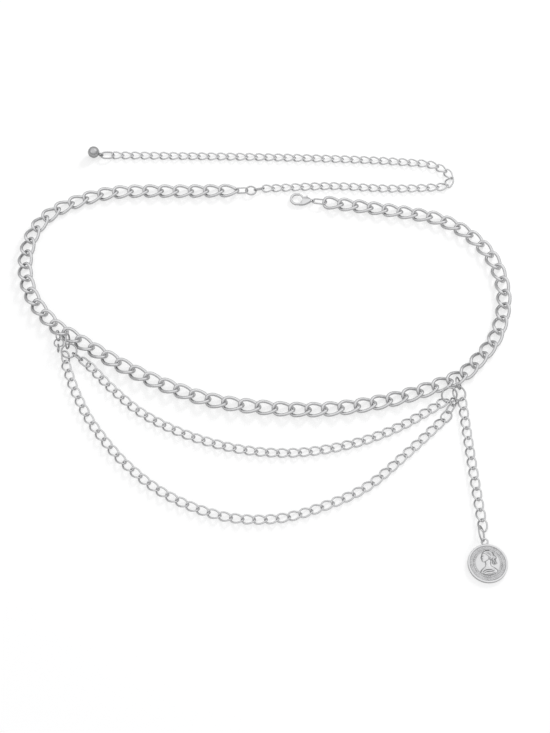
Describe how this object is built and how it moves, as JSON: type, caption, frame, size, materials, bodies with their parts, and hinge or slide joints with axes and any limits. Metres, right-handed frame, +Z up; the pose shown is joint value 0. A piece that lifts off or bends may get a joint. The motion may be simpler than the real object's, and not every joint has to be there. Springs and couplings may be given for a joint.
{
  "type": "waist chain",
  "caption": "Curb waist chain lying flat, with two draped small chains, a coin drop, a lobster clasp and an extension chain that ends in a ball.",
  "frame": {"origin": "centre of the outline on the surface that the chain lies on", "axes": "+Z up off the surface, -Y towards the coin drop, +X towards the side with the drop"},
  "size_m": [0.3069, 0.3019, 0.0098],
  "materials": {
    "polished_silver": "polished",
    "coin_silver": "polished, struck relief"
  },
  "bodies": {
    "chain": {"main_chain": "polished_silver", "upper_drape": "polished_silver", "lower_drape": "polished_silver", "drop_chain": "polished_silver", "extension_chain": "polished_silver", "hook_ring": "polished_silver", "left_ring": "polished_silver", "left_link_upper": "polished_silver", "left_link_upper_end": "polished_silver", "left_link_lower": "polished_silver", "spare_ring_top": "polished_silver", "spare_ring_middle": "polished_silver", "spare_ring_end": "polished_silver", "right_hook_ring": "polished_silver", "right_drop_ring": "polished_silver", "right_big_ring": "polished_silver", "right_link_a": "polished_silver", "right_link_b": "polished_silver", "right_end_link": "polished_silver", "clasp_body": "polished_silver", "clasp_rivet": "polished_silver", "clasp_link": "polished_silver", "extension_ring": "polished_silver", "main_connector": "polished_silver", "extension_connector": "polished_silver", "end_link": "polished_silver", "end_ball": "polished_silver", "coin_ring": "polished_silver", "coin": "coin_silver"},
    "lever": {"clasp_lever": "polished_silver"}
  },
  "joints": [
    {"name": "clasp_lever_hinge", "type": "hinge", "parent": "chain", "child": "lever", "pos_m": [0.02789, 0.10933, 0.0015], "axis": [0, 0, 1], "range_deg": [0, 24], "stiffness_Nm_per_rad": 0.002, "springref_deg": -11.46}
  ]
}
